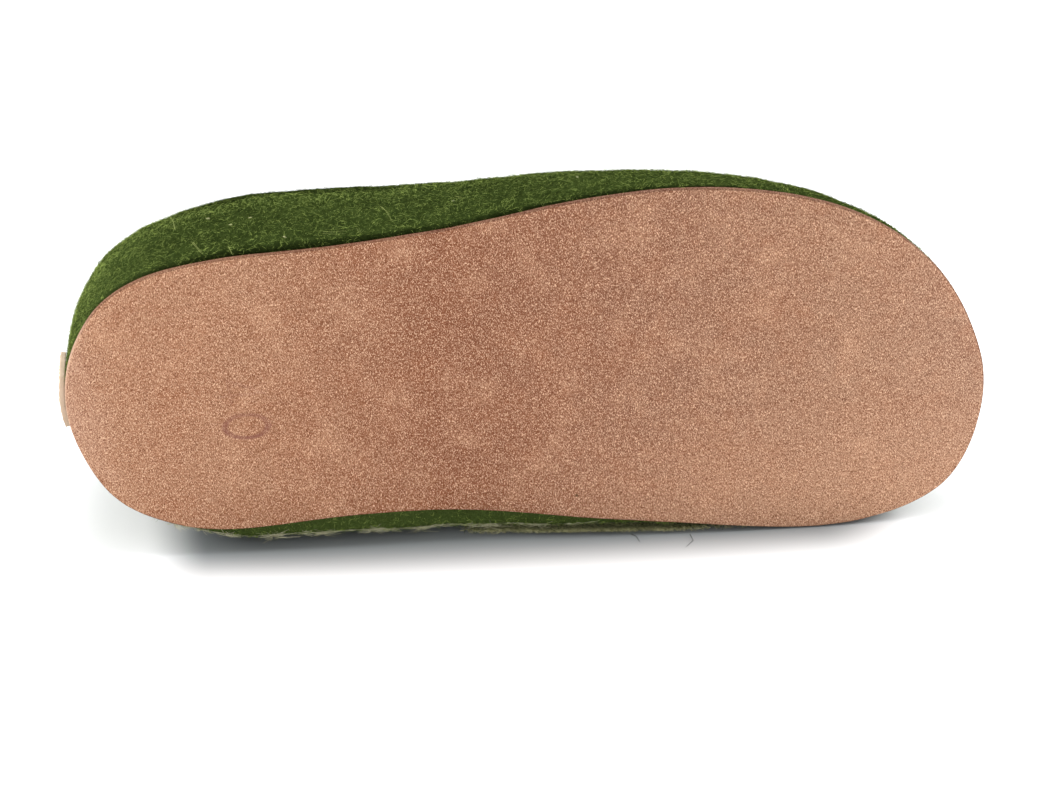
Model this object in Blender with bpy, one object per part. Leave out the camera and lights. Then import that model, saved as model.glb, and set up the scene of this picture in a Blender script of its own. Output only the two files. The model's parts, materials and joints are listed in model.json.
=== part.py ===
"""A right felt slipper that lies on its inner side.

Shoe coordinates, in metres: x runs from the back of the heel to the toe, y to the inner side of the
foot and z up from the flat ground. The finished shoe is laid down with its sole facing -Y, its toe
towards +X and its inner side on the floor, z = 0.
"""

import math
from collections import namedtuple

import bmesh
import bpy
from mathutils import Matrix, Vector
from mathutils.bvhtree import BVHTree

# Sole
SOLE_LENGTH = 0.270
BALL_WIDTH = 0.106
HEEL_WIDTH = 0.0842
SOLE_THICKNESS = 0.003
SOLE_EDGE_ROUND = 0.0008
TOE_SPRING = 0.006
ARCH_RISE = 0.0015

# Upper, with its heights measured from the top of the sole
WALL = 0.005
HEEL_HEIGHT = 0.0585
SIDE_HEIGHT = 0.0525
INSTEP_HEIGHT = 0.070
TOE_HEIGHT = 0.039
COLLAR_LENGTH = 0.1345
COLLAR_WIDTH = 0.080
COLLAR_START = 0.0025

# Insole and heel tab
INSOLE_THICKNESS = 0.004
INSOLE_EDGE_ROUND = 0.0006
TAB_WIDTH = 0.017
TAB_HEIGHT = 0.023
TAB_START = 0.0002
TAB_THICKNESS = 0.0016

# Fits
SEAT_GAP = 0.0003
INSOLE_CLEARANCE = 0.0006
FLOOR_FLAT = 0.0004

# Where the sole leaves the ground, as shares of its length
ARCH_FROM = 0.28
ARCH_TO = 0.58
SPRING_FROM = 0.72

# The heel tab's corners: how far they are drawn in, and how suddenly
TAB_CORNER = 0.10
TAB_CORNER_POWER = 6

# Mesh density
TURN_STEPS = 84
RISE_STEPS = 14
RIM_STEPS = 4
SOLE_COLUMNS = 6
INSOLE_COLUMNS = 4
TAB_STEPS = 6
SMOOTH_UNDER = math.radians(40)

# Fineness of the curves that the mesh is read from
EDGE_STEPS = 150
EDGE_FINE_STEPS = 600
INSOLE_SEARCH_STEPS = 84
HEIGHT_SEARCHES = 30
SETTLING_STEPS = 3
TURN_LOOK = 0.004
RISE_LOOK = 0.004

# Linear colours, and how rough the finishes are
SUEDE = (0.42, 0.22, 0.14)
FELT = (0.07, 0.10, 0.03)
INSOLE_FELT = (0.10, 0.12, 0.05)
TAB_LEATHER = (0.68, 0.53, 0.40)
SUEDE_ROUGHNESS = 0.95
FELT_ROUGHNESS = 1.0
TAB_ROUGHNESS = 0.7

# The sides of the foot, as signs of y
OUTER = -1
INNER = 1
ENDS = 0

# The sole's outline, from the back of the heel along the outer side to the toe and back.
# along is a share of the sole's length. The place across is heel shares of the heel width
# plus ball shares of the ball width, positive towards the inner side.
Corner = namedtuple("Corner", "place side along heel ball")
OUTLINE = [
    Corner("heel back", ENDS, 0.000, 0.000, 0.000),
    Corner("heel round", OUTER, 0.015, -0.222, 0.000),
    Corner("heel turn", OUTER, 0.060, -0.398, 0.000),
    Corner("heel side", OUTER, 0.150, -0.485, 0.000),
    Corner("waist back", OUTER, 0.300, -0.511, 0.000),
    Corner("waist front", OUTER, 0.430, -0.270, -0.218),
    Corner("ball back", OUTER, 0.560, 0.000, -0.487),
    Corner("ball", OUTER, 0.680, 0.000, -0.502),
    Corner("little toe", OUTER, 0.800, 0.000, -0.454),
    Corner("toe side", OUTER, 0.900, 0.000, -0.331),
    Corner("toe round", OUTER, 0.968, 0.000, -0.134),
    Corner("toe tip", ENDS, 1.000, 0.000, 0.140),
    Corner("toe round", INNER, 0.968, 0.000, 0.397),
    Corner("toe side", INNER, 0.900, 0.000, 0.497),
    Corner("big toe", INNER, 0.800, 0.000, 0.522),
    Corner("ball", INNER, 0.680, 0.000, 0.487),
    Corner("ball back", INNER, 0.540, 0.000, 0.438),
    Corner("waist front", INNER, 0.420, 0.250, 0.198),
    Corner("waist back", INNER, 0.300, 0.483, 0.000),
    Corner("heel side", INNER, 0.155, 0.500, 0.000),
    Corner("heel turn", INNER, 0.060, 0.396, 0.000),
    Corner("heel round", INNER, 0.018, 0.215, 0.000),
]

# The upper's walls, place by place round the sole. Each wall rises in one curve from its seat on
# the sole's edge, past its belly and its crown, to the collar.
# seat_out, belly_out and crown_out stand outside the sole's edge, in shares of the wall.
# crown_in is how far the crown lies from the sole's edge towards the collar.
# collar_along and collar_across are shares of the collar's length and width.
Place = namedtuple(
    "Place",
    "name side along seat_out belly_out belly_up crown_in crown_out crown_up"
    " collar_along collar_across collar_up",
)
WALLS = [
    Place("heel back", ENDS, 0.00, -0.10, 0.00, 0.22 * HEEL_HEIGHT, 0.00, -0.20, 0.75 * HEEL_HEIGHT,
          0.000, 0.000, HEEL_HEIGHT),
    Place("heel turn", OUTER, 0.06, 0.05, 0.00, 0.20 * HEEL_HEIGHT, 0.00, -0.20, 0.75 * HEEL_HEIGHT,
          0.120, -0.355, 0.98 * HEEL_HEIGHT),
    Place("heel side", OUTER, 0.20, 0.20, 1.00, 0.22 * SIDE_HEIGHT, 0.00, 1.50, 0.88 * SIDE_HEIGHT,
          0.385, -0.485, 1.03 * SIDE_HEIGHT),
    Place("waist", OUTER, 0.35, 0.20, 0.70, 0.25 * SIDE_HEIGHT, 0.00, 0.90, 0.90 * SIDE_HEIGHT,
          0.650, -0.485, 1.04 * SIDE_HEIGHT),
    Place("ball back", OUTER, 0.50, 0.10, 0.30, 0.22 * INSTEP_HEIGHT, 0.04, 0.50, 0.74 * INSTEP_HEIGHT,
          0.865, -0.365, 0.89 * INSTEP_HEIGHT),
    Place("ball", OUTER, 0.68, 0.00, 0.20, 0.25 * INSTEP_HEIGHT, 0.17, 0.20, 0.68 * INSTEP_HEIGHT,
          0.960, -0.210, 0.96 * INSTEP_HEIGHT),
    Place("toe side", OUTER, 0.88, -0.10, 0.25, 0.55 * TOE_HEIGHT, 0.28, 0.20, 0.60 * INSTEP_HEIGHT,
          0.993, -0.080, 0.99 * INSTEP_HEIGHT),
    Place("toe tip", ENDS, 1.00, -0.10, 0.20, 0.68 * TOE_HEIGHT, 0.36, 0.00, 0.62 * INSTEP_HEIGHT,
          1.000, 0.010, INSTEP_HEIGHT),
    Place("toe side", INNER, 0.88, -0.08, 0.20, 0.55 * TOE_HEIGHT, 0.28, 0.00, 0.60 * INSTEP_HEIGHT,
          0.993, 0.100, 0.99 * INSTEP_HEIGHT),
    Place("ball", INNER, 0.68, 0.16, 0.34, 0.04 * INSTEP_HEIGHT, 0.14, 0.00, 0.70 * INSTEP_HEIGHT,
          0.960, 0.225, 0.97 * INSTEP_HEIGHT),
    Place("waist front", INNER, 0.50, 0.50, 2.00, -0.06 * SIDE_HEIGHT, 0.00, 1.30, 0.85 * SIDE_HEIGHT,
          0.865, 0.375, 0.90 * INSTEP_HEIGHT),
    Place("waist", INNER, 0.36, 0.60, 2.50, -0.14 * SIDE_HEIGHT, 0.00, 2.00, 0.84 * SIDE_HEIGHT,
          0.650, 0.490, 1.05 * SIDE_HEIGHT),
    Place("heel side", INNER, 0.20, 0.50, 1.60, -0.08 * SIDE_HEIGHT, 0.00, 1.20, 0.84 * SIDE_HEIGHT,
          0.385, 0.485, 1.04 * SIDE_HEIGHT),
    Place("heel turn", INNER, 0.06, -0.05, 0.00, 0.15 * HEEL_HEIGHT, 0.00, 0.10, 0.75 * HEEL_HEIGHT,
          0.120, 0.360, 0.98 * HEEL_HEIGHT),
]


def clear_scene():
    for thing in list(bpy.data.objects):
        bpy.data.objects.remove(thing, do_unlink=True)


def loop_through(keys, values, period):
    """A smooth closed curve that takes each value at its key. Returns a function of the key."""
    count = len(keys)

    def slope(i):
        before = keys[i - 1] - (period if i == 0 else 0)
        after = keys[(i + 1) % count] + (period if i == count - 1 else 0)
        return (values[(i + 1) % count] - values[i - 1]) / (after - before)

    slopes = [slope(i) for i in range(count)]

    def curve(key):
        key = (key - keys[0]) % period + keys[0]
        i = max(j for j in range(count) if keys[j] <= key)
        j = (i + 1) % count
        span = (keys[j] - keys[i]) % period
        t = (key - keys[i]) / span
        rise = t * t * (3 - 2 * t)
        return (
            values[i] * (1 - rise)
            + values[j] * rise
            + slopes[i] * (span * t * (1 - t) ** 2)
            - slopes[j] * (span * t * t * (1 - t))
        )

    return curve


def spaced(line, count):
    """count + 1 points at equal distances along an open line."""
    lengths = [0.0]
    for a, b in zip(line, line[1:]):
        lengths.append(lengths[-1] + (b - a).length)
    points = []
    i = 0
    for step in range(count + 1):
        goal = lengths[-1] * step / count
        while i < len(line) - 2 and lengths[i + 1] < goal:
            i += 1
        points.append(line[i].lerp(line[i + 1], (goal - lengths[i]) / (lengths[i + 1] - lengths[i])))
    return points, lengths[-1]


class SoleEdge:
    """The sole's outline as a function of turn: 0 at the heel's back, 0.5 at the toe, outer side first."""

    def __init__(self):
        corners = [
            Vector((c.along * SOLE_LENGTH, c.heel * HEEL_WIDTH + c.ball * BALL_WIDTH)) for c in OUTLINE
        ]
        keys = [0.0]
        for a, b in zip(corners, corners[1:] + corners[:1]):
            keys.append(keys[-1] + math.sqrt((b - a).length))
        curve = loop_through(keys[:-1], corners, keys[-1])
        tip = next(i for i, c in enumerate(OUTLINE) if c.place == "toe tip")
        to_tip = keys[tip]
        past_tip = keys[-1] - keys[tip]
        shares = [i / EDGE_FINE_STEPS for i in range(EDGE_FINE_STEPS + 1)]
        self.outer, self.outer_length = spaced([curve(to_tip * s) for s in shares], EDGE_STEPS)
        self.inner, self.inner_length = spaced([curve(-past_tip * s) for s in shares], EDGE_STEPS)

    def at(self, turn):
        turn = turn % 1.0
        side = self.outer if turn <= 0.5 else self.inner
        place = (turn if turn <= 0.5 else 1.0 - turn) * 2 * EDGE_STEPS
        i = min(int(place), EDGE_STEPS - 1)
        return side[i].lerp(side[i + 1], place - i)

    def outward(self, turn):
        along = self.at(turn + TURN_LOOK) - self.at(turn - TURN_LOOK)
        return Vector((along.y, -along.x)).normalized()

    def turn_at(self, side, along):
        """The turn at a share of the sole's length, on one side."""
        if side == ENDS:
            return 0.5 * along
        line = self.outer if side == OUTER else self.inner
        i = next(j for j, point in enumerate(line) if point.x >= along * SOLE_LENGTH)
        share = (along * SOLE_LENGTH - line[i - 1].x) / (line[i].x - line[i - 1].x)
        half = 0.5 * (i - 1 + share) / EDGE_STEPS
        return half if side == OUTER else 1.0 - half

    def turn_beside_heel(self, side, distance):
        """The turn at a distance from the heel's back, measured along the edge."""
        length = self.outer_length if side == OUTER else self.inner_length
        return -side * 0.5 * distance / length


EDGE = SoleEdge()
WALL_CURVE = loop_through(
    [EDGE.turn_at(p.side, p.along) for p in WALLS],
    [Vector(p[3:]) for p in WALLS],
    1.0,
)


def ground(x):
    """Height of the sole's underside over the flat ground: the arch and the toe spring."""
    share = x / SOLE_LENGTH
    height = 0.0
    if ARCH_FROM < share < ARCH_TO:
        height += ARCH_RISE * math.sin(math.pi * (share - ARCH_FROM) / (ARCH_TO - ARCH_FROM)) ** 2
    bend = max(0.0, (share - SPRING_FROM) / (1 - SPRING_FROM))
    return height + TOE_SPRING * bend ** 2


def seat(x):
    """Height of what stands on the sole."""
    return ground(x) + SOLE_THICKNESS + SEAT_GAP


def raised(flat, height):
    """A point over a place on the sole, at a height above its top."""
    return Vector((flat.x, flat.y, seat(flat.x) + height))


def wall_point(turn, rise):
    """The upper's outer face, at a turn round the sole and a share of the way up to the collar."""
    wall = Place("", 0, 0, *WALL_CURVE(turn))
    edge = EDGE.at(turn)
    out = EDGE.outward(turn) * WALL
    collar = Vector((
        COLLAR_START + wall.collar_along * COLLAR_LENGTH,
        wall.collar_across * COLLAR_WIDTH,
    ))
    low = raised(edge + out * wall.seat_out, 0.0)
    belly = raised(edge + out * wall.belly_out, wall.belly_up)
    crown = raised(edge.lerp(collar, wall.crown_in) + out * wall.crown_out, wall.crown_up)
    high = raised(collar, wall.collar_up)
    back = 1 - rise
    return (
        low * back ** 3
        + belly * (3 * back * back * rise)
        + crown * (3 * back * rise * rise)
        + high * rise ** 3
    )


def wall_frame(turn, rise):
    """The wall's outward normal and its upward direction."""
    low = max(0.0, rise - RISE_LOOK)
    high = min(1.0, rise + RISE_LOOK)
    up = (wall_point(turn, high) - wall_point(turn, low)).normalized()
    along = wall_point(turn + TURN_LOOK, rise) - wall_point(turn - TURN_LOOK, rise)
    return along.cross(up).normalized(), up


def lining_point(turn, rise):
    """The upper's inner face, one wall inside the outer one. It ends level on the sole."""
    outer = wall_point(turn, rise)
    if rise == 0:
        out = EDGE.outward(turn)
        inner = outer.xy - out * WALL
        return raised(inner, 0.0)
    normal, _ = wall_frame(turn, rise)
    inner = outer - normal * WALL
    lowest = seat(inner.x) + rise * WALL
    inner.z = max(inner.z, lowest)
    return inner


def turns():
    return [i / TURN_STEPS for i in range(TURN_STEPS)]


def add_ring(bm, points):
    return [bm.verts.new(point) for point in points]


def bridge(bm, low, high):
    """Quads between two rings of equally many points."""
    for i in range(len(low)):
        j = (i + 1) % len(low)
        bm.faces.new((low[i], low[j], high[j], high[i]))


def fill_across(bm, ring, columns, height, facing_up):
    """Closes a ring with rows of quads from its outer to its inner side, at height(x)."""
    half = len(ring) // 2
    rows = [[ring[0]]]
    for i in range(1, half):
        outer, inner = ring[i], ring[-i]
        row = [outer]
        for c in range(1, columns):
            flat = outer.co.lerp(inner.co, c / columns)
            row.append(bm.verts.new((flat.x, flat.y, height(flat.x))))
        rows.append(row + [inner])
    rows.append([ring[half]])
    for back, front in zip(rows, rows[1:]):
        for c in range(columns):
            a = back[min(c, len(back) - 1)]
            b = back[min(c + 1, len(back) - 1)]
            d = front[min(c, len(front) - 1)]
            e = front[min(c + 1, len(front) - 1)]
            corners = list(dict.fromkeys((a, d, e, b)))
            bm.faces.new(corners if facing_up else corners[::-1])


def finish(bm, name, material):
    """Turns a closed bmesh into a named object, smooth except at its sharp edges."""
    bmesh.ops.recalc_face_normals(bm, faces=bm.faces)
    mesh = bpy.data.meshes.new(name)
    bm.to_mesh(mesh)
    bm.free()
    mesh.shade_smooth()
    mesh.set_sharp_from_angle(angle=SMOOTH_UNDER)
    mesh.materials.append(material)
    thing = bpy.data.objects.new(name, mesh)
    bpy.context.scene.collection.objects.link(thing)
    return thing


def plain_material(name, colour, roughness):
    material = bpy.data.materials.new(name)
    material.use_nodes = True
    shader = material.node_tree.nodes["Principled BSDF"]
    shader.inputs["Base Color"].default_value = (*colour, 1.0)
    shader.inputs["Roughness"].default_value = roughness
    shader.inputs["Metallic"].default_value = 0.0
    return material


def slab(bm, edge_points, low, high, edge_round, columns):
    """A sheet with a rounded edge between two heights over the ground, inside a given outline."""
    def ring(inset, height):
        points = []
        for turn, point in zip(turns(), edge_points):
            flat = point - EDGE.outward(turn) * inset
            points.append(Vector((flat.x, flat.y, ground(flat.x) + height)))
        return add_ring(bm, points)

    half = edge_round * (1 - math.sqrt(0.5))
    rings = [
        ring(edge_round, low),
        ring(half, low + half),
        ring(0.0, low + edge_round),
        ring(0.0, high - edge_round),
        ring(half, high - half),
        ring(edge_round, high),
    ]
    for a, b in zip(rings, rings[1:]):
        bridge(bm, a, b)
    fill_across(bm, rings[0], columns, lambda x: ground(x) + low, facing_up=False)
    fill_across(bm, rings[-1], columns, lambda x: ground(x) + high, facing_up=True)


def make_outsole():
    bm = bmesh.new()
    points = [EDGE.at(turn) for turn in turns()]
    slab(bm, points, 0.0, SOLE_THICKNESS, SOLE_EDGE_ROUND, SOLE_COLUMNS)
    return finish(bm, "outsole", plain_material("suede", SUEDE, SUEDE_ROUGHNESS))


def insole_edge(turn):
    """The sole's edge moved in until it clears the wall as high as the insole reaches."""
    edge = EDGE.at(turn)
    out = EDGE.outward(turn)
    deepest = (edge - lining_point(turn, 0).xy).dot(out)
    for i in range(1, INSOLE_SEARCH_STEPS):
        point = lining_point(turn, i / INSOLE_SEARCH_STEPS)
        if point.z > seat(point.x) + INSOLE_THICKNESS + INSOLE_CLEARANCE:
            break
        deepest = max(deepest, (edge - point.xy).dot(out))
    return edge - out * (deepest + INSOLE_CLEARANCE)


def make_insole():
    bm = bmesh.new()
    points = [insole_edge(turn) for turn in turns()]
    low = SOLE_THICKNESS + SEAT_GAP
    slab(bm, points, low, low + INSOLE_THICKNESS, INSOLE_EDGE_ROUND, INSOLE_COLUMNS)
    return finish(bm, "insole", plain_material("insole_felt", INSOLE_FELT, FELT_ROUGHNESS))


def rim_points(turn):
    """The rounded lip between the two faces of the wall at the collar."""
    normal, up = wall_frame(turn, 1.0)
    middle = wall_point(turn, 1.0) - normal * (WALL / 2)
    points = []
    for i in range(1, RIM_STEPS):
        angle = math.pi * i / RIM_STEPS
        points.append(middle + (normal * math.cos(angle) + up * math.sin(angle)) * (WALL / 2))
    return points


def make_upper():
    bm = bmesh.new()
    rises = [i / RISE_STEPS for i in range(RISE_STEPS + 1)]
    outer = [add_ring(bm, [wall_point(turn, rise) for turn in turns()]) for rise in rises]
    inner = [add_ring(bm, [lining_point(turn, rise) for turn in turns()]) for rise in rises]
    lips = [rim_points(turn) for turn in turns()]
    rim = [add_ring(bm, [lip[i] for lip in lips]) for i in range(RIM_STEPS - 1)]
    rings = outer + rim + inner[::-1]
    for low, high in zip(rings, rings[1:] + rings[:1]):
        bridge(bm, low, high)
    return finish(bm, "upper", plain_material("felt", FELT, FELT_ROUGHNESS))


def rise_at(turn, height):
    """The share of the way up at which the wall reaches a height above the sole."""
    low, high = 0.0, 1.0
    for _ in range(HEIGHT_SEARCHES):
        middle = (low + high) / 2
        point = wall_point(turn, middle)
        if point.z - seat(point.x) < height:
            low = middle
        else:
            high = middle
    return low


def make_heel_tab():
    """A leather patch on the back of the heel, following the felt."""
    bm = bmesh.new()
    spots = [2 * i / TAB_STEPS - 1 for i in range(TAB_STEPS + 1)]

    def drawn_in(spot):
        return 1 - TAB_CORNER * spot ** TAB_CORNER_POWER

    def patch(offset):
        grid = []
        for up in spots:
            line = []
            for beside in spots:
                across = beside * drawn_in(up) * TAB_WIDTH / 2
                height = TAB_START + (1 + up * drawn_in(beside)) * TAB_HEIGHT / 2
                side = INNER if across < 0 else OUTER
                turn = EDGE.turn_beside_heel(side, abs(across))
                rise = rise_at(turn, height)
                normal, _ = wall_frame(turn, rise)
                line.append(bm.verts.new(wall_point(turn, rise) + normal * offset))
            grid.append(line)
        return grid

    back = patch(SEAT_GAP)
    front = patch(SEAT_GAP + TAB_THICKNESS)
    for r in range(TAB_STEPS):
        for c in range(TAB_STEPS):
            bm.faces.new((front[r][c], front[r][c + 1], front[r + 1][c + 1], front[r + 1][c]))
            bm.faces.new((back[r + 1][c], back[r + 1][c + 1], back[r][c + 1], back[r][c]))

    def border(grid):
        right = [line[-1] for line in grid[1:]]
        top = grid[-1][-2::-1]
        left = [line[0] for line in grid[-2:0:-1]]
        return grid[0] + right + top + left

    bridge(bm, border(back), border(front))
    return finish(bm, "heel_tab", plain_material("tab_leather", TAB_LEATHER, TAB_ROUGHNESS))


def lay_down(pieces):
    """Lays the shoe on its inner side, on the flat of its hull that carries its weight."""
    hull = bmesh.new()
    weight, area = Vector(), 0.0
    for piece in pieces:
        for vertex in piece.data.vertices:
            hull.verts.new(vertex.co)
        for face in piece.data.polygons:
            weight += face.center * face.area
            area += face.area
    weight /= area
    shape = bmesh.ops.convex_hull(hull, input=hull.verts)
    loose = [v for v in shape["geom_interior"] if isinstance(v, bmesh.types.BMVert)]
    bmesh.ops.delete(hull, geom=loose, context="VERTS")
    bmesh.ops.recalc_face_normals(hull, faces=hull.faces)
    tree = BVHTree.FromBMesh(hull)
    down = Vector((0, 1, 0))
    for _ in range(SETTLING_STEPS):
        _, down, _, _ = tree.ray_cast(weight, down)
    hull.free()

    across = down.cross(Vector((1, 0, 0))).normalized()
    along = across.cross(down)
    stand = Matrix((along, -across, -down)).to_4x4()
    corners = [stand @ v.co for piece in pieces for v in piece.data.vertices]
    low = Vector(min(c[i] for c in corners) for i in range(3))
    high = Vector(max(c[i] for c in corners) for i in range(3))
    middle = (low + high) / 2
    shift = Matrix.Translation((-middle.x, -middle.y, -low.z - FLOOR_FLAT))
    carrier = bpy.data.objects.new("lying", None)
    bpy.context.scene.collection.objects.link(carrier)
    carrier.matrix_world = shift @ stand
    for piece in pieces:
        piece.parent = carrier
        press_flat(piece, carrier.matrix_world)


def press_flat(piece, matrix):
    """Flattens what would reach below the floor, as the weight of the shoe does."""
    back = matrix.inverted()
    for vertex in piece.data.vertices:
        place = matrix @ vertex.co
        if place.z < 0:
            place.z = 0
            vertex.co = back @ place


clear_scene()
lay_down([make_outsole(), make_upper(), make_insole(), make_heel_tab()])
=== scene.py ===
# Looks of a right felt slipper that lies on its inner side, with its suede sole to the camera.
# All lengths are in metres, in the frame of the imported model.
import json
import math

import bpy
import numpy as np
from mathutils import Matrix, Vector
from mathutils.bvhtree import BVHTree

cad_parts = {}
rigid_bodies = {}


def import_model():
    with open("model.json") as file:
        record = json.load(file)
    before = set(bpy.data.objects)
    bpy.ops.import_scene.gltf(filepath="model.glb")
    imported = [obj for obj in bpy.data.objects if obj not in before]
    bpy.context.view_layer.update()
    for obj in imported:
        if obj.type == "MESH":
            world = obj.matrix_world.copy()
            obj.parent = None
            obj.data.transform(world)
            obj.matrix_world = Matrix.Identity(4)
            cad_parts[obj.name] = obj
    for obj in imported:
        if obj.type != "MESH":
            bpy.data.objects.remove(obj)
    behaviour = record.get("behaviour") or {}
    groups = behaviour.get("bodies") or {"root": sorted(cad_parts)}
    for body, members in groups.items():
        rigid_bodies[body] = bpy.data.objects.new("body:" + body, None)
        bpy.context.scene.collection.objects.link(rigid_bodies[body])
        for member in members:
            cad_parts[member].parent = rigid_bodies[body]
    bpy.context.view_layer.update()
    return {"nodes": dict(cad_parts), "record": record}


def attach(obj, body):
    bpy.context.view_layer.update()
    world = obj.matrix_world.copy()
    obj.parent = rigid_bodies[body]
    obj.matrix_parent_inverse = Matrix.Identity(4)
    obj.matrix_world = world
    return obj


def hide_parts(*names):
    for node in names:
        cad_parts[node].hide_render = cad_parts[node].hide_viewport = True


for leftover in list(bpy.data.objects):
    bpy.data.objects.remove(leftover)
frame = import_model()
nodes = frame["nodes"]
print("stage: frame loaded")

# The shoe's own axes: along the sole to the toe, across it to the inner side, and up from its tread
mounts = {mount["name"]: mount for mount in frame["record"]["mounts"]}
heelSpot = Vector(mounts["tread_heel"]["pos_m"])
ballSpot = Vector(mounts["tread_ball"]["pos_m"])
shoeUp = -Vector(mounts["tread_heel"]["axis"]).normalized()
shoeAlong = (ballSpot - heelSpot).normalized()
shoeAcross = shoeUp.cross(shoeAlong)
soleReach = [shoeAlong.dot(vertex.co) for vertex in nodes["outsole"].data.vertices]
soleLength = max(soleReach) - min(soleReach)
shoeFrame = Matrix((shoeAlong, shoeAcross, shoeUp)).transposed().to_4x4()
shoeFrame.translation = heelSpot + shoeAlong * (min(soleReach) - shoeAlong.dot(heelSpot))
toShoe = shoeFrame.inverted()


# Camera and light
cameraSet = {
    "azimuth": -5.43,  # degrees round the shoe
    "elevation": 26.89,
    "distance": 1.3,
    "target": Vector((0.0017, 0.0, 0.0292)),
    "focal": 4331 / 1046,  # as a share of the photograph's width, both in its pixels
    "sensor": 36.0,  # millimetres
    "clip": (0.05, 50.0),
}


def towards(azimuth, elevation):
    # the direction from the shoe to a camera or a lamp
    turn = math.radians(azimuth)
    rise = math.radians(elevation)
    level = Vector((math.sin(turn), -math.cos(turn), 0)) * math.cos(rise)
    return level + Vector((0, 0, math.sin(rise)))


def cameraBack():
    return towards(cameraSet["azimuth"], cameraSet["elevation"])


def placeCamera():
    back = cameraBack()
    bpy.ops.object.camera_add(location=cameraSet["target"] + back * cameraSet["distance"])
    camera = bpy.context.object
    camera.name = "camera"
    camera.rotation_mode = "QUATERNION"
    camera.rotation_quaternion = (-back).to_track_quat("-Z", "Y")
    camera.data.sensor_width = cameraSet["sensor"]
    camera.data.lens = cameraSet["focal"] * cameraSet["sensor"]
    camera.data.clip_start, camera.data.clip_end = cameraSet["clip"]
    bpy.context.scene.camera = camera


lightSet = {
    "sky": 1.0,  # plain white all round
    "lamps": {
        "topLight": {"azimuth": 180, "elevation": 84, "distance": 1.6, "size": 1.1, "power": 12.0},
        "leftLight": {"azimuth": -100, "elevation": 26, "distance": 1.8, "size": 0.9, "power": 32.0},
        "rightLight": {"azimuth": 100, "elevation": 26, "distance": 1.8, "size": 0.9, "power": 34.0},
        "frontLight": {"azimuth": -8, "elevation": 9, "distance": 2.2, "size": 0.6, "power": 11.0},
    },
}


def addSoftLight(name, settings):
    back = towards(settings["azimuth"], settings["elevation"])
    bpy.ops.object.light_add(type="AREA", location=back * settings["distance"])
    light = bpy.context.object
    light.name = name
    light.rotation_mode = "QUATERNION"
    light.rotation_quaternion = (-back).to_track_quat("-Z", "Y")
    light.data.shape = "DISK"
    light.data.size = settings["size"]
    light.data.energy = settings["power"]


def lightUp():
    world = bpy.data.worlds.new("studio")
    world.use_nodes = True
    world.node_tree.nodes["Background"].inputs["Color"].default_value = (1, 1, 1, 1)
    world.node_tree.nodes["Background"].inputs["Strength"].default_value = lightSet["sky"]
    bpy.context.scene.world = world
    for name, settings in lightSet["lamps"].items():
        addSoftLight(name, settings)
    bpy.context.scene.view_settings.view_transform = "Standard"


placeCamera()
lightUp()
print("stage: camera and light")


# Materials are written as sums on sockets
def shade(red, green, blue):
    # a colour as it looks on a screen, from 0 to 255, as the linear one that a shader takes
    return (*[((c / 255 + 0.055) / 1.055) ** 2.4 for c in (red, green, blue)], 1.0)


class Wire:
    # one value on its way through a material
    def __init__(self, finish, socket):
        self.finish = finish
        self.socket = socket

    def sum(self, operation, *others):
        inputs = dict(enumerate((self, *others)))
        return self.finish.node("Math", {"operation": operation}, inputs)

    def __add__(self, other):
        return self.sum("ADD", other)

    def __sub__(self, other):
        return self.sum("SUBTRACT", other)

    def __rsub__(self, other):
        return self.sum("MULTIPLY", -1.0) + other

    def __mul__(self, other):
        return self.sum("MULTIPLY", other)

    def __truediv__(self, other):
        return self.sum("DIVIDE", other)

    def __pow__(self, other):
        return self.sum("POWER", other)

    __radd__ = __add__
    __rmul__ = __mul__

    def between(self, low, high):
        # 0 up to low, 1 from high on, and a soft step in between
        settings = {"interpolation_type": "SMOOTHSTEP"}
        inputs = {"Value": self, "From Min": low, "From Max": high}
        return self.finish.node("MapRange", settings, inputs)


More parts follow.
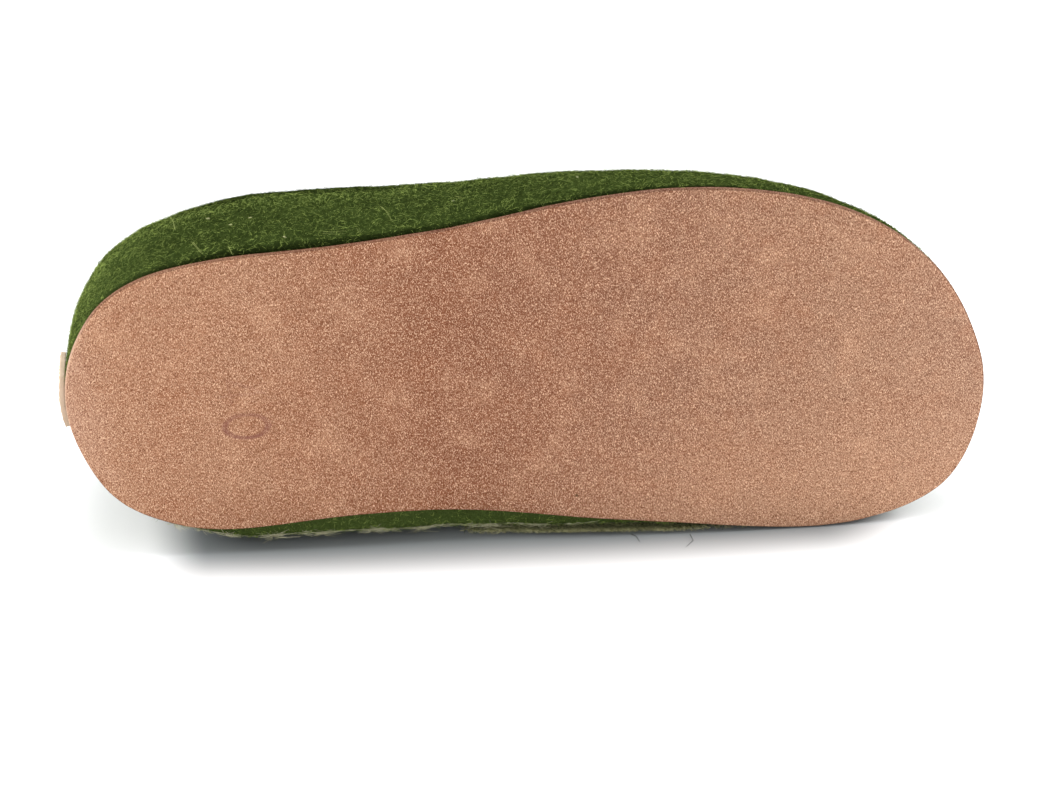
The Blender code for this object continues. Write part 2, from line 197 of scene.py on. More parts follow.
class Finish:
    # a material with one Principled shader. Constants stand on the shader's own sockets
    def __init__(self, name, constants):
        self.material = bpy.data.materials.new(name)
        self.material.use_nodes = True
        self.tree = self.material.node_tree
        self.shader = self.tree.nodes["Principled BSDF"]
        for socket, value in constants.items():
            self.shader.inputs[socket].default_value = value

    def feed(self, socket, value):
        if isinstance(value, Wire):
            self.tree.links.new(value.socket, socket)
        else:
            socket.default_value = value

    def node(self, kind, settings, inputs, output=0):
        made = self.tree.nodes.new("ShaderNode" + kind)
        for name, value in settings.items():
            if name == "stops":
                while len(made.color_ramp.elements) < len(value):
                    made.color_ramp.elements.new(0.5)
                for element, (place, colour) in zip(made.color_ramp.elements, value):
                    element.position = place
                    element.color = colour
            else:
                setattr(made, name, value)
        for name, value in inputs.items():
            self.feed(made.inputs[name], value)
        return Wire(self, made.outputs[output])

    def places(self, onShoe=True, stretch=(1, 1, 1), turn=0.0):
        # points in the shoe's own axes, or in the frame's, turned and stretched for a pattern
        here = self.node("TexCoord", {}, {}, "Object")
        if onShoe:
            own = {
                "Vector": here,
                "Location": shoeFrame.translation,
                "Rotation": shoeFrame.to_euler(),
            }
            here = self.node("Mapping", {"vector_type": "TEXTURE"}, own)
        if turn or stretch != (1, 1, 1):
            # the tilt keeps the flat sole from lying level in the noise, which shows as bands
            inputs = {
                "Vector": here,
                "Rotation": (0.6, 0, math.radians(turn)),
                "Scale": [1 / share for share in stretch],
            }
            here = self.node("Mapping", {"vector_type": "TEXTURE"}, inputs)
        return here

    def noise(self, here, size, detail, roughness, distortion=0.0):
        # soft random lumps about as wide as size
        inputs = {
            "Vector": here,
            "Scale": 1 / size,
            "Detail": detail,
            "Roughness": roughness,
            "Distortion": distortion,
        }
        return self.node("TexNoise", {"noise_dimensions": "3D"}, inputs)

    def mixed(self, share, low, high, blend="MIX"):
        settings = {"data_type": "RGBA", "blend_type": blend}
        return self.node("Mix", settings, {0: share, 6: low, 7: high}, 2)

    def finished(self, colour, height, depth):
        # height from 0 to 1 stands for a relief as deep as depth
        bump = self.node("Bump", {}, {"Height": height, "Distance": depth, "Strength": 1.0})
        self.feed(self.shader.inputs["Base Color"], colour)
        self.feed(self.shader.inputs["Normal"], bump)
        return self.material


def dressed(piece, material):
    piece.data.materials.clear()
    piece.data.materials.append(material)
    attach(piece, "root")


# Working on a copy of a CAD solid
copySet = {
    "merge": 0.00002,  # corners nearer than this are one
    "quadAngle": 60,  # degrees that two triangles may bend and still make a quad
    "lift": 0.0001,  # least height over the floor
}


def pickOnly(piece):
    bpy.ops.object.select_all(action="DESELECT")
    piece.select_set(True)
    bpy.context.view_layer.objects.active = piece


def workCopy(nodeName, pieceName, sharpOver, levels):
    # the solid with its loose triangles merged to quads, then subdivided
    piece = bpy.data.objects.new(pieceName, nodes[nodeName].data.copy())
    bpy.context.scene.collection.objects.link(piece)
    pickOnly(piece)
    bpy.ops.mesh.customdata_custom_splitnormals_clear()
    bpy.ops.object.mode_set(mode="EDIT")
    bpy.ops.mesh.select_all(action="SELECT")
    bpy.ops.mesh.remove_doubles(threshold=copySet["merge"])
    quadAngle = math.radians(copySet["quadAngle"])
    bpy.ops.mesh.tris_convert_to_quads(face_threshold=quadAngle, shape_threshold=quadAngle)
    bpy.ops.mesh.mark_sharp(clear=True)
    if sharpOver:
        bpy.ops.mesh.select_all(action="DESELECT")
        bpy.ops.mesh.edges_select_sharp(sharpness=math.radians(sharpOver))
        bpy.ops.transform.edge_crease(value=1.0)
    bpy.ops.object.mode_set(mode="OBJECT")
    bpy.ops.object.modifier_add(type="SUBSURF")
    smoother = piece.modifiers[-1]
    smoother.levels = levels
    smoother.render_levels = levels
    bpy.ops.object.modifier_apply(modifier=smoother.name)
    bpy.ops.object.shade_smooth()
    return piece


def addLumps(piece, size, height):
    # a soft unevenness of the surface itself
    pickOnly(piece)
    lumps = bpy.data.textures.new(piece.name + "Lumps", "CLOUDS")
    lumps.noise_scale = size
    lumps.noise_depth = 2
    bpy.ops.object.modifier_add(type="DISPLACE")
    mover = piece.modifiers[-1]
    mover.texture = lumps
    mover.texture_coords = "LOCAL"
    mover.mid_level = 0.5
    mover.strength = height
    bpy.ops.object.modifier_apply(modifier=mover.name)


def keepOffFloor(piece):
    for vertex in piece.data.vertices:
        vertex.co.z = max(vertex.co.z, copySet["lift"])


# Suede sole
soleSet = {
    "levels": 3,
    "waveSize": 0.024,  # the soft unevenness of the surface itself
    "wave": 0.0005,
    "reliefDepth": 0.00035,
    "lengthwise": [  # from the heel to the toe, by share of the length
        (0.00, shade(170, 130, 107)),
        (0.05, shade(155, 112, 86)),
        (0.20, shade(145, 103, 78)),
        (0.40, shade(120, 74, 53)),
        (0.62, shade(126, 87, 68)),
        (0.86, shade(144, 107, 85)),
        (0.99, shade(148, 112, 92)),
    ],
    "cloud": 0.020,
    "cloudShift": 0.12,  # how far the clouds move the lengthwise colours
    "cloudDepth": 0.6,
    "red": shade(140, 86, 58),
    "redShare": 0.35,
    "smallRedShare": 0.22,
    "pale": shade(190, 146, 116),
    "paleSize": 0.016,
    "paleShare": 0.45,
    # painted light on the lower part of the ball and toe, next to the floor
    "paleInside": {"along": (0.11, 0.20), "across": (0.0, 0.055), "share": 0.40},
    "naps": [
        {"size": 0.00046, "stretch": (2.6, 1.0, 1.0), "turn": 4, "share": 0.65},
        {"size": 0.00046 * 1.2, "stretch": (2.0, 1.0, 1.0), "turn": -25, "share": 0.35},
    ],
    "napTip": shade(224, 184, 153),
    "napRoot": shade(92, 50, 32),
    "napShare": 0.85,
    "rimFacing": (0.60, 0.98),  # a face that is turned away from the tread this far is the cut edge
    "cutEdge": (0.46, 0.43, 0.42, 1),  # painted shade on the cut edge, as shares of the suede's own colour
    "heelEnd": (0.002, 0.012),
    # the heel's cut edge: its paler leather, with a painted highlight on it
    "heelRim": shade(196, 168, 146),
    "heelRimShare": 0.35,
    "ink": shade(118, 74, 66),
    "speck": {"along": 0.1472, "across": 0.0394, "size": 0.0009, "share": 0.8},
    "speckColour": shade(70, 50, 30),
}
# The size number is stamped at the heel and reads with the toe up. Places along and across the shoe
stampSet = {
    "zero": {"along": 0.0519, "across": 0.0098, "tall": 0.0063, "wide": 0.0036},
    "fourTop": (0.0575, -0.0003),
    "fourFoot": (0.0445, 0.0003),
    "fourArm": (0.0472, -0.0046),
    "fourArmEnd": (0.0480, 0.0025),
    "stroke": 0.0006,
    "zeroShare": 0.50,
    "deeperShare": 0.25,  # more on the side of the zero that is pressed in deeper
    "fourShare": 0.22,
    "wearSize": 0.0016,
}


def strokeMask(x, y, start, end, width):
    # 1 on a straight stroke from start to end, fading at its sides
    dx, dy = end[0] - start[0], end[1] - start[1]
    length = math.hypot(dx, dy)
    along = ((x - start[0]) * (dx / length) + (y - start[1]) * (dy / length))
    beside = ((x - start[0]) * (dy / length) - (y - start[1]) * (dx / length)).sum("ABSOLUTE")
    inside = (along + width).between(0, width) * (length + width - along).between(0, width)
    return (1 - beside.between(width * 0.4, width * 1.1)) * inside


def stampMask(finish, here):
    x = finish.node("SeparateXYZ", {}, {"Vector": here}, "X")
    y = finish.node("SeparateXYZ", {}, {"Vector": here}, "Y")
    zero = stampSet["zero"]
    stroke = stampSet["stroke"]
    off = ((x - zero["along"]) / zero["tall"]) ** 2 + ((y - zero["across"]) / zero["wide"]) ** 2
    ring = (off.sum("SQRT") - 1).sum("ABSOLUTE")
    ring = 1 - ring.between(0.5 * stroke / zero["wide"], 1.3 * stroke / zero["wide"])
    four = strokeMask(x, y, stampSet["fourFoot"], stampSet["fourTop"], stroke)
    for end in (stampSet["fourTop"], stampSet["fourArmEnd"]):
        four = four.sum("MAXIMUM", strokeMask(x, y, stampSet["fourArm"], end, stroke))
    worn = finish.noise(here, stampSet["wearSize"], 3.0, 0.7).between(0.35, 0.62)
    deeper = (y - zero["across"]).between(-0.004, 0.004)
    ring = ring * (stampSet["zeroShare"] + stampSet["deeperShare"] * deeper)
    return (ring + four * stampSet["fourShare"]) * (0.55 + 0.45 * worn)


def napGrain(finish):
    grain = 0.0
    for nap in soleSet["naps"]:
        here = finish.places(stretch=nap["stretch"], turn=nap["turn"])
        grain = finish.noise(here, nap["size"], 1.0, 0.6) * nap["share"] + grain
    return grain


def speckMask(x, y):
    speck = soleSet["speck"]
    off = ((x - speck["along"]) ** 2 + (y - speck["across"]) ** 2).sum("SQRT")
    return (1 - off.between(0.3 * speck["size"], 0.7 * speck["size"])) * speck["share"]


def suedeFinish():
    finish = Finish("suede", {"Roughness": 0.95, "Specular IOR Level": 0.1})
    here = finish.places()
    x = finish.node("SeparateXYZ", {}, {"Vector": here}, "X")
    y = finish.node("SeparateXYZ", {}, {"Vector": here}, "Y")
    tilted = finish.places(turn=20)
    clouds = finish.noise(tilted, soleSet["cloud"], 4.0, 0.60, 0.4)
    smallClouds = finish.noise(tilted, soleSet["cloud"] / 5, 2.0, 0.5, 0.3)
    share = x / soleLength + (clouds - 0.5) * soleSet["cloudShift"]
    colour = finish.node("ValToRGB", {"stops": soleSet["lengthwise"]}, {"Fac": share})
    redder = clouds.between(0.35, 0.80) * soleSet["redShare"]
    redder = redder + smallClouds.between(0.40, 0.80) * soleSet["smallRedShare"]
    colour = finish.mixed(redder, colour, soleSet["red"])
    paler = finish.noise(finish.places(turn=-50), soleSet["paleSize"], 3.0, 0.55, 0.5)
    paler = paler.between(0.45, 0.85) * soleSet["paleShare"]
    # random pale clouds, and painted light on the lower part of the ball and toe
    inside = soleSet["paleInside"]
    inner = y.between(*inside["across"]) * x.between(*inside["along"]) * inside["share"]
    colour = finish.mixed(paler.sum("MAXIMUM", inner), colour, soleSet["pale"])
    grain = napGrain(finish)
    colour = finish.mixed(grain.between(0.50, 0.65) * soleSet["napShare"], colour, soleSet["napTip"])
    root = 1 - grain.between(0.35, 0.50)
    colour = finish.mixed(root * soleSet["napShare"], colour, soleSet["napRoot"])
    normal = finish.node("NewGeometry", {}, {}, "Normal")
    product = {"operation": "DOT_PRODUCT"}
    facing = finish.node("VectorMath", product, {0: normal, 1: -shoeUp}, "Value")
    rim = 1 - facing.between(*soleSet["rimFacing"])
    atHeel = 1 - x.between(*soleSet["heelEnd"])
    # painted shade on the cut edge, half as strong at the heel
    colour = finish.mixed(rim * (1 - 0.5 * atHeel), colour, soleSet["cutEdge"], "MULTIPLY")
    # the paler cut edge at the heel, partly a painted highlight
    colour = finish.mixed(rim * atHeel * soleSet["heelRimShare"], colour, soleSet["heelRim"])
    colour = finish.mixed(stampMask(finish, here), colour, soleSet["ink"])
    colour = finish.mixed(speckMask(x, y), colour, soleSet["speckColour"])
    return finish.finished(colour, grain + clouds * soleSet["cloudDepth"], soleSet["reliefDepth"])


sole = workCopy("outsole", "suedeSole", 0, soleSet["levels"])
addLumps(sole, soleSet["waveSize"], soleSet["wave"])
keepOffFloor(sole)
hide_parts("outsole")
dressed(sole, suedeFinish())
print("stage: sole")


# Felt upper
feltSet = {
    "levels": 2,
    "lumpSize": 0.014,
    "lump": 0.0011,
    "insoleLump": 0.0006,
    "deep": shade(31, 40, 14),
    "mid": shade(45, 57, 23),
    "light": shade(74, 89, 44),
    "shaded": shade(14, 20, 6),
    "speck": shade(170, 176, 128),
    "patch": 0.010,
    "mottle": 0.0020,
    "mottleShare": 0.5,
    "fibre": 0.0007,
    "fibreTurns": (8, 52, 97, 143),
    "fibreShare": 0.30,
    "fibreDepth": 0.0007,
    "seamShade": (0.0034, 0.0060),  # dark from the sole's edge up to here, on the outer side
    "seamShare": 0.45,
    "crestFrom": (0.026, 0.037),  # between these heights the heel's wall is painted lighter up to its crest, as painted light
    "crestAt": (0.0385, 0.042),  # past this height it leans away and gets painted shade
    "crestTo": (0.075, 0.130),  # both end here, along the shoe
    "darkFrom": (0.025, 0.050),  # and the band of painted shade starts here
    "darkShare": 0.6,
    "crestTone": 0.8,  # how much lighter the hairs are painted at the crest, as painted light
    "darkTone": 0.65,  # and how much darker past it, as painted shade
    "heelLight": (0.0, 0.045),  # along the shoe, the painted light on the heel's end fades out here
    "heelLightShare": 0.6,
    "underSide": (0.0, 0.02),  # across from here on, the low wall bulges out under the sole, and is painted lighter as painted light
    "underTo": (0.010, 0.020),  # up to here
    "underShare": 0.8,
}
insoleSet = {
    **feltSet,
    "deep": shade(40, 48, 22),
    "mid": shade(56, 66, 34),
    "light": shade(82, 94, 52),
}


def feltFibrePattern(finish):
    # crossing fibres, as thin ridges of stretched noise in four directions
    woven = None
    for turn in feltSet["fibreTurns"]:
        here = finish.places(stretch=(0.20, 1.0, 0.8), turn=turn)
        strand = (finish.noise(here, feltSet["fibre"], 1.0, 0.5, 0.6) - 0.5).sum("ABSOLUTE")
        strand = 1 - strand.between(0.0, 0.045)
        woven = strand if woven is None else woven.sum("MAXIMUM", strand)
    return woven


def feltFinish(name, settings):
    finish = Finish(name, {"Roughness": 1.0, "Specular IOR Level": 0.0})
    here = finish.places()
    x, y, z = [finish.node("SeparateXYZ", {}, {"Vector": here}, axis) for axis in "XYZ"]
    patches = finish.noise(finish.places(turn=20), settings["patch"], 4.0, 0.65, 0.6)
    mottle = finish.noise(finish.places(turn=-50), settings["mottle"], 3.0, 0.65)
    colour = finish.mixed(patches.between(0.20, 0.80), settings["deep"], settings["mid"])
    paler = mottle.between(0.48, 0.75) * settings["mottleShare"]
    colour = finish.mixed(paler, colour, settings["light"])
    fibres = feltFibrePattern(finish)
    colour = finish.mixed(fibres * settings["fibreShare"], colour, settings["light"])
    inputs = {"Vector": here, "Scale": 70.0}
    specks = finish.node("TexVoronoi", {"feature": "F1"}, inputs, "Distance")
    colour = finish.mixed((1 - specks.between(0.02, 0.05)) * 0.5, colour, settings["speck"])
    outerSide = 1 - y.between(-0.01, 0.01)
    seam = (1 - z.between(*settings["seamShade"])) * outerSide * settings["seamShare"]
    # painted shade on the heel's wall past its crest
    crest = z.between(*settings["crestAt"]) * x.between(*settings["darkFrom"])
    crest = crest * (1 - x.between(*settings["crestTo"])) * settings["darkShare"]
    colour = finish.mixed(seam.sum("MAXIMUM", crest), colour, settings["shaded"])
    # painted light on the heel's end
    heel = (1 - x.between(*settings["heelLight"])) * settings["heelLightShare"]
    colour = finish.mixed(heel, colour, settings["light"])
    # painted light on the low wall under the sole, which faces down
    under = y.between(*settings["underSide"]) * (1 - z.between(*settings["underTo"]))
    colour = finish.mixed(under * settings["underShare"], colour, settings["light"])
    height = fibres * 0.4 + mottle * 0.8 + patches * 0.8
    return finish.finished(colour, height, settings["fibreDepth"])


upper = workCopy("upper", "feltUpper", 60, feltSet["levels"])
addLumps(upper, feltSet["lumpSize"], feltSet["lump"])
keepOffFloor(upper)
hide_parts("upper")
dressed(upper, feltFinish("felt", feltSet))
print("stage: upper")

insole = workCopy("insole", "feltInsole", 0, insoleSet["levels"])
addLumps(insole, feltSet["lumpSize"], feltSet["insoleLump"])
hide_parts("insole")
dressed(insole, feltFinish("insoleFelt", insoleSet))
print("stage: insole")


# Loose fibres, as ribbons of two faces, all of one kind in one mesh
ribbonSet = {
    "points": 3,
    "taper": 0.6,  # share of the width that is lost from the root to the tip
    "leastHeight": 0.0002,  # above the floor
}


def fibreFinish(name, dark, light):
    finish = Finish(name, {"Roughness": 1.0, "Specular IOR Level": 0.0})
    tone = finish.node("Attribute", {"attribute_name": "tone"}, {}, "Fac")
    colour = finish.mixed(tone, dark, light)
    finish.feed(finish.shader.inputs["Base Color"], colour)
    return finish.material


def ribbonMesh(name, spots, across, width, tone):
    # spots and across are fibres by points by three, and tone is fibres by points
    count, steps = spots.shape[:2]
    taper = (1 - ribbonSet["taper"] * np.linspace(0, 1, steps))[None, :, None]
    half = across * taper * width / 2
    sides = np.stack((spots - half, spots + half), axis=2)
    sides[..., 2] = np.maximum(sides[..., 2], ribbonSet["leastHeight"])
    first = np.arange(count * steps).reshape(count, steps)[:, :-1].reshape(-1, 1) * 2
    made = bpy.data.meshes.new(name)
    made.from_pydata(sides.reshape(-1, 3), [], first + np.array([0, 1, 3, 2]))
    tones = made.attributes.new("tone", "FLOAT", "POINT")
    tones.data.foreach_set("value", np.repeat(tone.reshape(-1), 2).astype(np.float32))
    piece = bpy.data.objects.new(name, made)
    bpy.context.scene.collection.objects.link(piece)
    return piece


def surfaceArrays(ground):
    mesh = ground.data
    mesh.calc_loop_triangles()
    corners = np.empty(len(mesh.loop_triangles) * 3, np.int32)
    mesh.loop_triangles.foreach_get("vertices", corners)
    points = np.empty(len(mesh.vertices) * 3, np.float32)
    mesh.vertices.foreach_get("co", points)
    triangles = points.reshape(-1, 3)[corners.reshape(-1, 3)].astype(float)
    normals = np.cross(triangles[:, 1] - triangles[:, 0], triangles[:, 2] - triangles[:, 0])
    areas = np.maximum(np.linalg.norm(normals, axis=1), 1e-12)
    return triangles, normals / areas[:, None], areas


def clumping(root, settings, dice):
    # 1, or longer and shorter by turns along the shoe where fibres cling together
    if "clumps" not in settings:
        return np.ones(len(root))
    waves = 0
    for period in settings["clumps"]:
        waves = waves + np.sin(root[:, 0] * math.tau / period + dice.uniform(0, math.tau))
    return np.clip(settings["clumpMiddle"] + settings["clumpSwing"] * waves, *settings["clumpEnds"])


def growFibres(name, ground, settings, weight):
    # roots by chance on the ground's faces, and fibres that lean, lift and curl from them
    dice = np.random.default_rng(settings["seed"])
    triangles, normals, areas = surfaceArrays(ground)
    chance = areas * weight(triangles.mean(axis=1), normals)
    count = settings["count"]
    picked = dice.choice(len(areas), count, p=chance / chance.sum())
    u, v = dice.random((2, count))
    over = u + v > 1
    u[over], v[over] = 1 - u[over], 1 - v[over]
    corner = triangles[picked]
    sideA, sideB = corner[:, 1] - corner[:, 0], corner[:, 2] - corner[:, 0]
    root = corner[:, 0] + sideA * u[:, None] + sideB * v[:, None]
    normal = normals[picked]
    wish = dice.normal(size=(count, 3)) + np.array(settings.get("lean", (0, 0, 0)))
    ahead = np.cross(np.cross(normal, wish), normal)
    ahead /= np.linalg.norm(ahead, axis=1)[:, None]
    beside = np.cross(normal, ahead)
    lift = np.radians(dice.uniform(*settings["lift"], count))[:, None]
    length = settings["length"] * dice.uniform(0.5, 1.5, count)
    length = (length * clumping(root, settings, dice))[:, None]
    curl = dice.normal(0, settings["curl"], count)[:, None]
    twist = dice.uniform(0, math.pi, count)[:, None]
    across = beside * np.cos(twist) + normal * np.sin(twist)
    spots = []
    for t in np.linspace(0, 1, ribbonSet["points"]):
        reach = ahead * np.cos(lift) * t + beside * curl * t * t
        height = normal * (np.sin(lift) * t - settings["droop"] * t * t)
        spots.append(root + (reach + height) * length)
    spots = np.stack(spots, axis=1)
    spots[..., 2] = np.minimum(spots[..., 2], settings.get("ceiling", math.inf))
    across = np.repeat(across[:, None], ribbonSet["points"], axis=1)
    tone = dice.random(count) ** settings["darker"] * placeTone(root)
    tone = tone[:, None] * np.array(settings.get("toTip", [1.0] * ribbonSet["points"]))
    return ribbonMesh(name, spots, across, settings["width"], tone)


def ramp(values, low, high):
    return np.clip((values - low) / (high - low), 0, 1)


def placeTone(root):
    # painted light and shade in the hairs' tone: lighter on the heel's wall up to its crest, darker
    # above it, and lighter low on the inner side
    own = np.array(toShoe)
    x, y, z = (root @ own[:3, :3].T + own[:3, 3]).T
    atHeel = 1 - ramp(x, *feltSet["crestTo"])
    past = ramp(z, *feltSet["crestAt"]) * ramp(x, *feltSet["darkFrom"])
    rising = ramp(z, *feltSet["crestFrom"]) * (1 - past)
    under = ramp(y, *feltSet["underSide"]) * (1 - ramp(z, *feltSet["underTo"]))
    return 1 + under + atHeel * (feltSet["crestTone"] * rising - feltSet["darkTone"] * past)


# Where the fibres of each kind have their roots
rootSet = {
    "middleUp": 0.03,  # of the foot room, over the tread
    "alongShare": 0.25,
    "outerMore": 0.25,
    "liningLeast": 0.12,
    "edgeSpread": 0.25,  # how far a face may turn from edge-on to the camera
    "facesDown": -0.45,
    "outlineUnder": 0.02,
    "outlineBefore": -0.01,
    "waistEnd": (-0.010, 0.020),  # x, where the fringe ends
    "ballStart": (-0.020, 0.025),  # x, where the long fibres start
    "ballEnd": (0.065, 0.088),
    "ballUnder": 0.003,
}


def outerShare(centres, normals):
    # 1 on what faces away from the middle of the foot room, less on the lining
    middle = np.array(shoeFrame @ Vector((0.5 * soleLength, 0, rootSet["middleUp"])))
    away = centres - middle
    away[:, 0] *= rootSet["alongShare"]
    away /= np.linalg.norm(away, axis=1)[:, None]
    facing = np.sum(away * normals, axis=1)
    return np.clip(rootSet["outerMore"] + facing, rootSet["liningLeast"], 1.0)


def lowestShare(centres, normals):
    # along the felt's lower outline, as the camera sees it, and next to nothing elsewhere
    back = np.array(cameraBack())
    edgeOn = np.exp(-(normals @ back / rootSet["edgeSpread"]) ** 2)
    low = (centres[:, 2] < rootSet["outlineUnder"]) * (centres[:, 1] < rootSet["outlineBefore"])
    return edgeOn * (normals[:, 2] < rootSet["facesDown"]) * low + 1e-9


def waistShare(centres, normals):
    # that outline up to the ball
    return lowestShare(centres, normals) * (1 - ramp(centres[:, 0], *rootSet["waistEnd"]))


def ballShare(centres, normals):
    # the part of that outline at the ball, where the felt comes out from under the sole
    here = ramp(centres[:, 0], *rootSet["ballStart"]) * (1 - ramp(centres[:, 0], *rootSet["ballEnd"]))
    return lowestShare(centres, normals) * here * (centres[:, 2] < rootSet["ballUnder"])


# lift is the angle over the felt in degrees, and darker the power that makes pale fibres rare
fibreSets = {
    "feltNap": {"seed": 3, "count": 48000, "length": 0.0015, "width": 0.00008, "lift": (3, 35),
                "curl": 0.5, "droop": 0.15, "darker": 2.2},
    "feltOverNap": {"seed": 4, "count": 48000, "length": 0.0010, "width": 0.00007, "lift": (10, 60),
                    "curl": 0.6, "droop": 0.25, "darker": 2.0},
    "feltFuzz": {"seed": 5, "count": 48000, "length": 0.0011, "width": 0.00008, "lift": (30, 85),
                 "curl": 0.7, "droop": 0.3, "darker": 2.0},
    "floorNap": {"seed": 7, "count": 14000, "length": 0.0027, "width": 0.00014, "lift": (0, 5),
                 "curl": 0.3, "droop": 0.1, "darker": 1.4, "toTip": (0.25, 0.40, 1.30),
                 "lean": (0.0, -3.0, -0.8), "ceiling": 0.0011},
    "floorFringe": {"seed": 8, "count": 16000, "length": 0.0013, "width": 0.00010, "lift": (5, 40),
                    "curl": 0.6, "droop": 0.3, "darker": 0.8, "lean": (0.0, -1.8, -0.4),
                    "clumps": (0.0029, 0.0043, 0.0071, 0.0153),  # periods along the shoe
                    "clumpMiddle": 0.25, "clumpSwing": 0.90, "clumpEnds": (0.20, 3.0)},
}
# the fringe and the floor nap's tips are pale fibres, painted paler still as painted light where they
# lie in shade on the floor
napFinish = fibreFinish("feltNap", shade(32, 43, 14), shade(160, 180, 94))
fringeFinish = fibreFinish("feltFringe", shade(126, 130, 92), shade(204, 200, 168))
floorNapFinish = fibreFinish("floorNap", shade(46, 60, 22), shade(206, 202, 156))
fibreKinds = [
    ("feltNap", outerShare, napFinish),
    ("feltOverNap", outerShare, napFinish),
    ("feltFuzz", outerShare, napFinish),
    ("floorNap", ballShare, floorNapFinish),
    ("floorFringe", waistShare, fringeFinish),
]
for fibreName, share, fibreLook in fibreKinds:
    dressed(growFibres(fibreName, upper, fibreSets[fibreName], share), fibreLook)
print("stage: fibres")


# Single wisps that stand out on the felt, in the shoe's own axes, and dark hairs on the floor
wispSet = {
    "strands": 2,
    "spread": 0.0003,
    "width": 0.00009,
    "lift": 0.0005,
    "lines": [
        ((0.0776, -0.0448, 0.0075), (0.0807, -0.0448, 0.0066), (0.0842, -0.0449, 0.0062)),
        ((0.0880, -0.0452, 0.0077), (0.0884, -0.0448, 0.0050), (0.0894, -0.0452, 0.0068)),
        ((0.0351, -0.0421, 0.0275), (0.0346, -0.0418, 0.0357), (0.0336, -0.0419, 0.0409)),
        ((0.0405, -0.0431, 0.0127), (0.0418, -0.0427, 0.0081), (0.0430, -0.0422, 0.0044)),
        ((0.0508, -0.0435, 0.0058), (0.0512, -0.0430, 0.0038), (0.0517, -0.0421, 0.0033)),
        ((0.0951, -0.0466, 0.0228), (0.0965, -0.0465, 0.0183), (0.0976, -0.0460, 0.0113)),
        ((0.1175, -0.0476, 0.0233), (0.1181, -0.0478, 0.0221), (0.1188, -0.0477, 0.0207)),
    ],
}
speckSet = {
    "strands": 4,
    "spread": 0.0002,
    "size": 0.0003,
    "width": 0.00013,
    "lift": 0.0005,
    "places": [
        (0.0452, -0.0450, 0.0265), (0.0515, -0.0455, 0.0187), (0.0574, -0.0463, 0.0215),
        (0.0666, -0.0446, 0.0075), (0.1528, -0.0516, 0.0218),
    ],
}
hairSet = {
    "width": 0.00022,
    "colour": shade(40, 40, 36),
    "lines": [
        ((0.0302, -0.0385, 0.0003), (0.0314, -0.0404, 0.0006), (0.0322, -0.0436, 0.0003)),
        ((0.0475, -0.0401, 0.0003), (0.0479, -0.0444, 0.0005), (0.0453, -0.0479, 0.0003)),
    ],
}


def laidOnShoe(lines):
    return [[shoeFrame @ Vector(point) for point in line] for line in lines]


def layStrands(name, lines, strands, spread, width, lift):
    dice = np.random.default_rng(11)
    lines = np.repeat(np.array(lines), strands, axis=0)
    shift = dice.normal(0, spread, (len(lines), 1, 3)) + dice.normal(0, spread / 3, lines.shape)
    lines = lines + shift + np.array((0, -lift, lift))
    back = np.array(cameraBack())
    across = np.cross(lines[:, -1] - lines[:, 0], back)
    across /= np.linalg.norm(across, axis=1)[:, None]
    tone = np.repeat(dice.uniform(0.6, 1.0, (len(lines), 1)), ribbonSet["points"], axis=1)
    across = np.repeat(across[:, None], ribbonSet["points"], axis=1)
    return ribbonMesh(name, lines, across, width, tone)


wispFinish = fibreFinish("feltWisp", shade(60, 78, 26), shade(150, 160, 96))
wisps = layStrands("feltWisps", laidOnShoe(wispSet["lines"]), wispSet["strands"], wispSet["spread"],
                   wispSet["width"], wispSet["lift"])
dressed(wisps, wispFinish)
curls = []
step = Vector((speckSet["size"], 0, 0))
for place in speckSet["places"]:
    middle = Vector(place)
    curls.append((middle - step, middle, middle + step))
specks = layStrands("feltSpecks", laidOnShoe(curls), speckSet["strands"], speckSet["spread"],
                    speckSet["width"], speckSet["lift"])
dressed(specks, fibreFinish("feltSpeck", shade(120, 130, 80), shade(190, 190, 140)))
hairs = layStrands("floorHairs", hairSet["lines"], 1, 0.0, hairSet["width"], 0.0)
dressed(hairs, fibreFinish("darkHair", hairSet["colour"], hairSet["colour"]))
print("stage: wisps and hairs")


# Leather tab on the heel
tabSet = {
    "levels": 2,
    "colour": shade(190, 168, 146),
    "darker": shade(166, 143, 120),
    "patch": 0.006,
    "grain": 0.0005,
    "grainDepth": 0.0001,
    "stitchInset": 0.0013,  # from the tab's edge to the seam
    "seamPoints": 720,  # points that the seam's line is worked out with
    "seamCorner": 0.35,  # 1 makes an ellipse of the seam, and 0 a rectangle
    "seamBehind": -0.05,  # along the shoe, where the stitches are cast from
    "stitchEvery": 0.0026,
    "stitch": 0.0019,  # length of one stitch
    "thread": 0.00045,
    "threadColour": shade(176, 166, 132),
}


def tabFinish():
    finish = Finish("tabLeather", {"Roughness": 0.75})
    here = finish.places()
    patches = finish.noise(here, tabSet["patch"], 3.0, 0.6)
    grain = finish.noise(here, tabSet["grain"], 3.0, 0.6)
    colour = finish.mixed(patches.between(0.35, 0.7) * 0.6, tabSet["colour"], tabSet["darker"])
    return finish.finished(colour, grain, tabSet["grainDepth"])


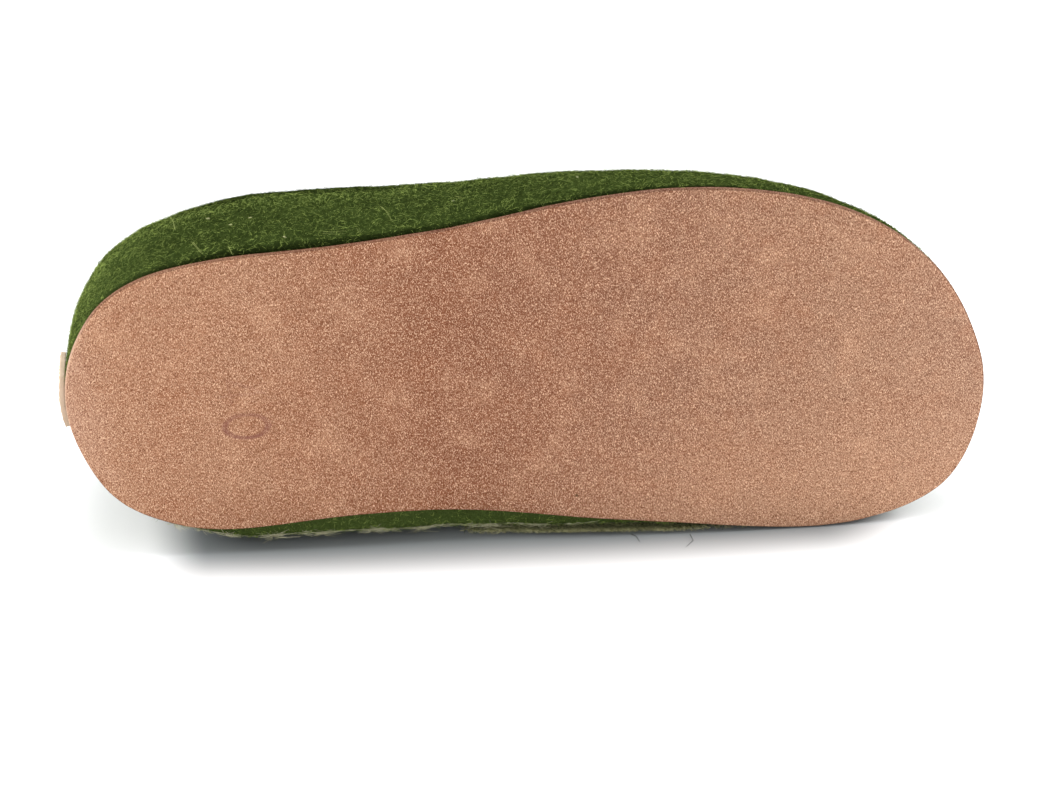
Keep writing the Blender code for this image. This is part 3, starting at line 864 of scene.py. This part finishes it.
def stitchPlaces(piece):
    # both ends of each stitch round the tab, a little inside its edge and cast on from behind
    own = [toShoe @ vertex.co for vertex in piece.data.vertices]
    low = min(p.y for p in own), min(p.z for p in own)
    high = max(p.y for p in own), max(p.z for p in own)
    inset = tabSet["stitchInset"]
    wide = (high[0] - low[0]) / 2 - inset
    tall = (high[1] - low[1]) / 2 - inset
    middle = (high[0] + low[0]) / 2, (high[1] + low[1]) / 2
    line = []
    for i in range(tabSet["seamPoints"]):
        turn = math.tau * i / tabSet["seamPoints"]
        round01 = (math.cos(turn), math.sin(turn))
        flat = [math.copysign(abs(v) ** tabSet["seamCorner"], v) for v in round01]
        line.append(Vector((middle[0] + wide * flat[0], middle[1] + tall * flat[1])))
    length = sum((b - a).length for a, b in zip(line, line[1:] + line[:1]))
    count = round(length / tabSet["stitchEvery"])
    points = [vertex.co for vertex in piece.data.vertices]
    tree = BVHTree.FromPolygons(points, [face.vertices for face in piece.data.polygons])
    found = []
    walked = 0.0
    for a, b in zip(line, line[1:] + line[:1]):
        walked += (b - a).length
        if walked >= length * (len(found) + 0.5) / count and len(found) < count:
            ends = []
            for spot in (a, a + (b - a).normalized() * tabSet["stitch"]):
                origin = shoeFrame @ Vector((tabSet["seamBehind"], spot.x, spot.y))
                ends.append(tree.ray_cast(origin, shoeAlong)[0])
            if all(ends):
                found.append(ends)
    return found


def sewStitches(name, places):
    # one stitch modelled as a round bead, stretched and copied along the seam as one mesh
    bpy.ops.mesh.primitive_uv_sphere_add(segments=10, ring_count=6, radius=0.5)
    pattern = bpy.context.object
    local = np.array([v.co for v in pattern.data.vertices])
    faces = [list(p.vertices) for p in pattern.data.polygons]
    bpy.data.objects.remove(pattern)
    points, polygons = [], []
    for start, end in places:
        ahead = (end - start).normalized()
        out = -(shoeAlong - ahead * shoeAlong.dot(ahead)).normalized()
        side = ahead.cross(out)
        along = ahead * (end - start).length
        axes = np.array([along, side * tabSet["thread"], out * tabSet["thread"]])
        polygons += [[index + len(points) * len(local) for index in face] for face in faces]
        points.append(local @ axes + np.array((start + end) / 2))
    made = bpy.data.meshes.new(name)
    made.from_pydata(np.concatenate(points), [], polygons)
    piece = bpy.data.objects.new(name, made)
    bpy.context.scene.collection.objects.link(piece)
    pickOnly(piece)
    bpy.ops.object.shade_smooth()
    return piece


tab = workCopy("heel_tab", "leatherTab", 50, tabSet["levels"])
stitches = sewStitches("tabStitches", stitchPlaces(tab))
thread = Finish("thread", {"Base Color": tabSet["threadColour"], "Roughness": 0.8})
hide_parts("heel_tab")
dressed(tab, tabFinish())
dressed(stitches, thread.material)
print("stage: heel tab")


# Floor, with a painted contact shadow under and in front of the shoe
floorSet = {
    "size": 8.0,
    "white": (0.84, 0.85, 0.855, 1),
    "contact": (0.19, 0.205, 0.21, 1),  # painted shadow under the shoe, and cool against the warm light from it
    "contactDepth": (-0.066, -0.034),  # y, from where the painted shadow fades in to where the shoe stands
    "behind": (0.0, 0.02),  # y, where the painted shadow fades out under the shoe
    "heelEnd": (-0.114, -0.094),
    "toeEnd": (0.085, 0.120),
}


def whiteFloor():
    bpy.ops.mesh.primitive_plane_add(size=floorSet["size"], location=(0, 0, 0))
    floor = bpy.context.object
    floor.name = "floor"
    finish = Finish("floorWhite", {"Roughness": 1.0})
    here = finish.places(onShoe=False)
    x = finish.node("SeparateXYZ", {}, {"Vector": here}, "X")
    y = finish.node("SeparateXYZ", {}, {"Vector": here}, "Y")
    # the floor's colour darkens to a painted shadow under and in front of the shoe, between its heel
    # and toe
    shadowMask = y.between(*floorSet["contactDepth"]) * (1 - y.between(*floorSet["behind"]))
    shadowMask = shadowMask * x.between(*floorSet["heelEnd"]) * (1 - x.between(*floorSet["toeEnd"]))
    colour = finish.mixed(shadowMask, floorSet["white"], floorSet["contact"])
    finish.feed(finish.shader.inputs["Base Color"], colour)
    floor.data.materials.append(finish.material)


whiteFloor()
print("stage: done")
